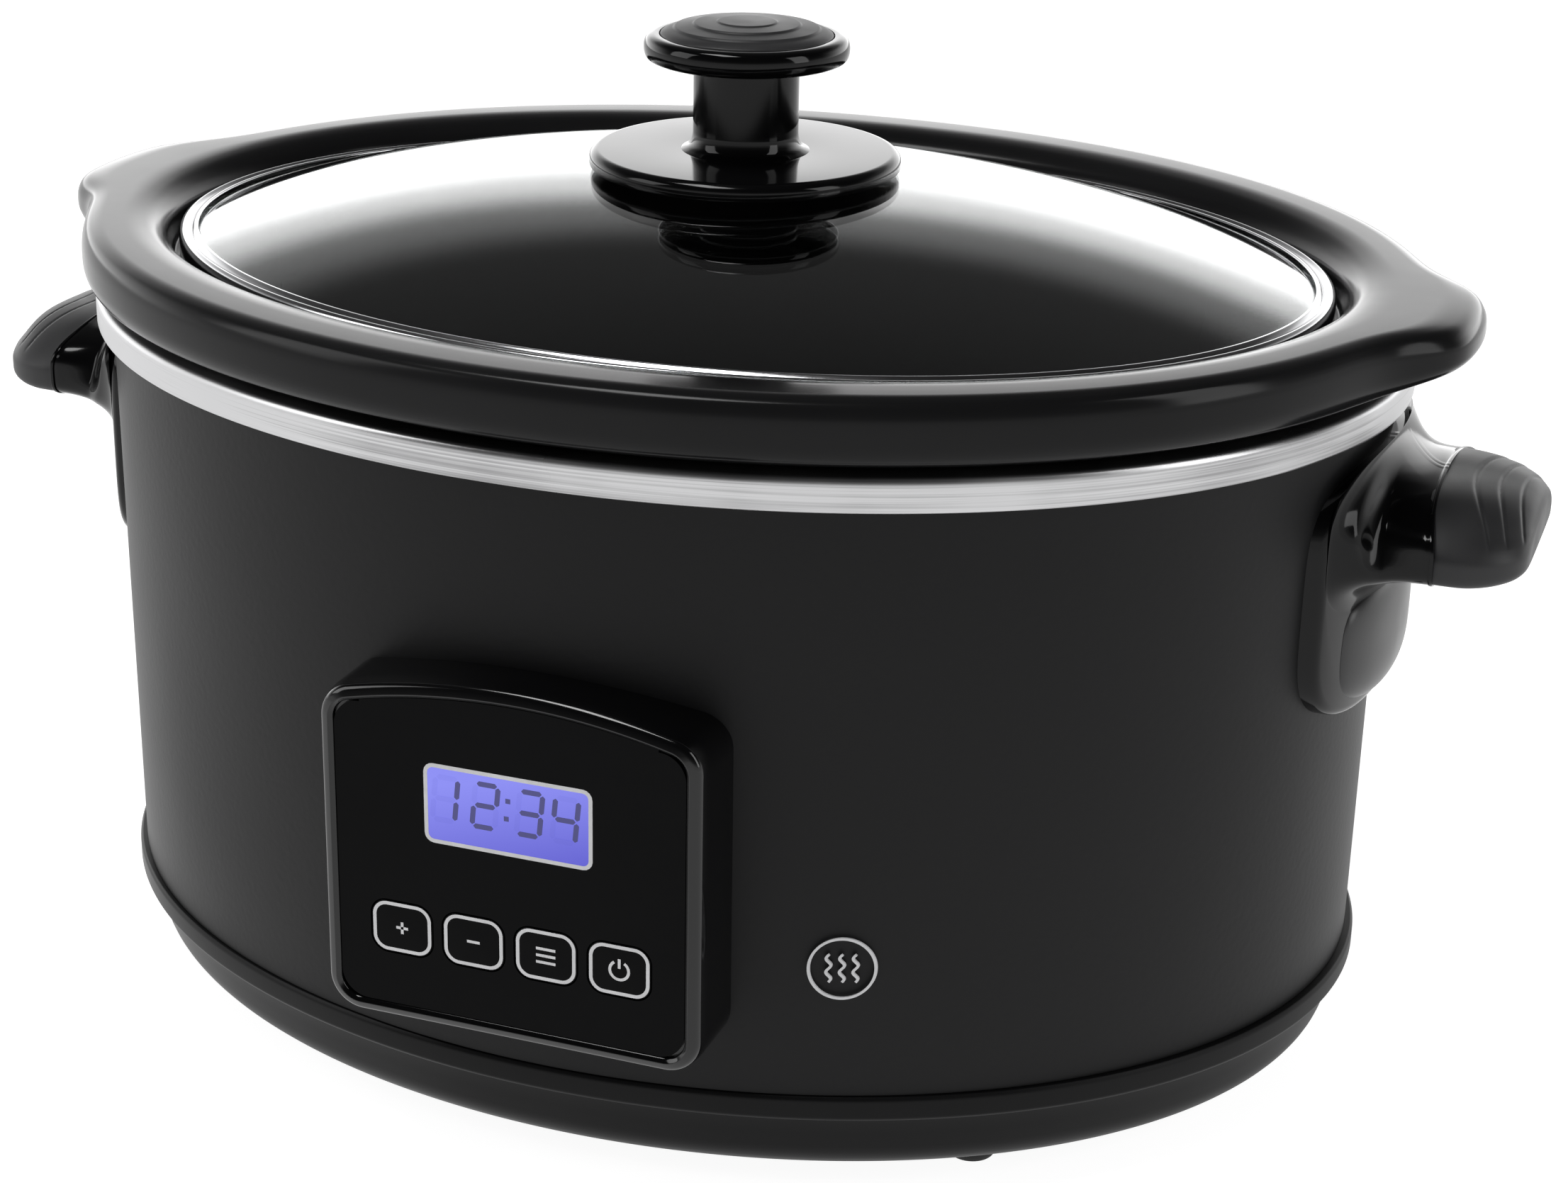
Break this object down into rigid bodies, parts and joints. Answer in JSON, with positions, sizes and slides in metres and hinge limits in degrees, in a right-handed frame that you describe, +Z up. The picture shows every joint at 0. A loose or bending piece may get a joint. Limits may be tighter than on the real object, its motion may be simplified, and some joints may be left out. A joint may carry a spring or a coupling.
{
  "type": "slow cooker",
  "caption": "Oval countertop slow cooker with a lift-out stoneware crock, a domed glass lid, side handles and a front control panel with a display and push keys.",
  "frame": {"origin": "on the floor under the centre of the oval housing", "axes": "+Z up, +X along the oval towards the right handle, -Y towards the control panel"},
  "size_m": [0.408, 0.2878, 0.2525],
  "materials": {
    "tray_black": "satin",
    "rubber": "matte",
    "steel_plain": "plain zinc plated",
    "shell_coat": "matte powder coat, fine texture",
    "brushed_band": "brushed",
    "well_alu": "plain",
    "heater_mica": "foil over mica",
    "wool": "glass fibre blanket",
    "sensor_body": "plain",
    "board_green": "solder mask",
    "component": "plain",
    "lead_insulation": "silicone sleeve",
    "panel_gloss": "gloss",
    "lcd_glass": "clear",
    "lcd_backlight": "lit blue",
    "bracket_gloss": "gloss",
    "soft_grip": "soft touch",
    "glaze": "gloss black glaze",
    "lid_clear": "clear",
    "lid_steel": "polished steel",
    "seal_rubber": "silicone"
  },
  "bodies": {
    "housing": {"base_tray": "tray_black", "foot_1": "rubber", "foot_2": "rubber", "foot_3": "rubber", "foot_4": "rubber", "base_washer": "steel_plain", "base_nut": "steel_plain", "shell": "shell_coat", "trim_band": "brushed_band", "heating_well": "well_alu", "well_stud": "steel_plain", "heater_band": "heater_mica", "insulation": "wool", "sensor_clip": "steel_plain", "temp_sensor": "sensor_body", "fuse_clip": "steel_plain", "thermal_fuse": "sensor_body", "power_board": "board_green", "relay": "component", "capacitor": "component", "terminal_block": "sensor_body", "board_screws": "steel_plain", "heater_leads": "lead_insulation", "control_ribbon": "lead_insulation", "cord_gland": "tray_black", "gland_nut": "tray_black", "control_bezel": "panel_gloss", "panel_overlay": "panel_gloss", "lcd_window": "lcd_glass", "lcd_module": "lcd_backlight", "control_board": "board_green", "control_screws": "steel_plain", "bezel_screws": "steel_plain", "key_switches": "component", "bracket_left": "bracket_gloss", "bracket_right": "bracket_gloss", "grip_left": "soft_grip", "grip_right": "soft_grip", "handle_screws": "steel_plain"},
    "crock": {"crock": "glaze"},
    "lid": {"lid_glass": "lid_clear", "lid_hoop": "lid_steel", "knob_flange": "bracket_gloss", "knob_stem": "bracket_gloss", "knob_cap": "bracket_gloss", "knob_insert": "soft_grip", "lid_washer": "seal_rubber", "knob_screw": "steel_plain"},
    "key_plus": {"key_plus": "panel_gloss"},
    "key_minus": {"key_minus": "panel_gloss"},
    "key_mode": {"key_mode": "panel_gloss"},
    "key_power": {"key_power": "panel_gloss"}
  },
  "joints": [
    {"name": "crock_lift", "type": "slide", "parent": "housing", "child": "crock", "axis": [0, 0, 1], "range_m": [0, 0.16]},
    {"name": "lid_lift", "type": "slide", "parent": "crock", "child": "lid", "axis": [0, 0, 1], "range_m": [0, 0.08]},
    {"name": "key_plus_press", "type": "slide", "parent": "housing", "child": "key_plus", "axis": [0, 1, 0], "range_m": [0, 0.0005], "stiffness_N_per_m": 3000, "springref_m": -0.0001},
    {"name": "key_minus_press", "type": "slide", "parent": "housing", "child": "key_minus", "axis": [0, 1, 0], "range_m": [0, 0.0005], "stiffness_N_per_m": 3000, "springref_m": -0.0001},
    {"name": "key_mode_press", "type": "slide", "parent": "housing", "child": "key_mode", "axis": [0, 1, 0], "range_m": [0, 0.0005], "stiffness_N_per_m": 3000, "springref_m": -0.0001},
    {"name": "key_power_press", "type": "slide", "parent": "housing", "child": "key_power", "axis": [0, 1, 0], "range_m": [0, 0.0005], "stiffness_N_per_m": 3000, "springref_m": -0.0001}
  ]
}
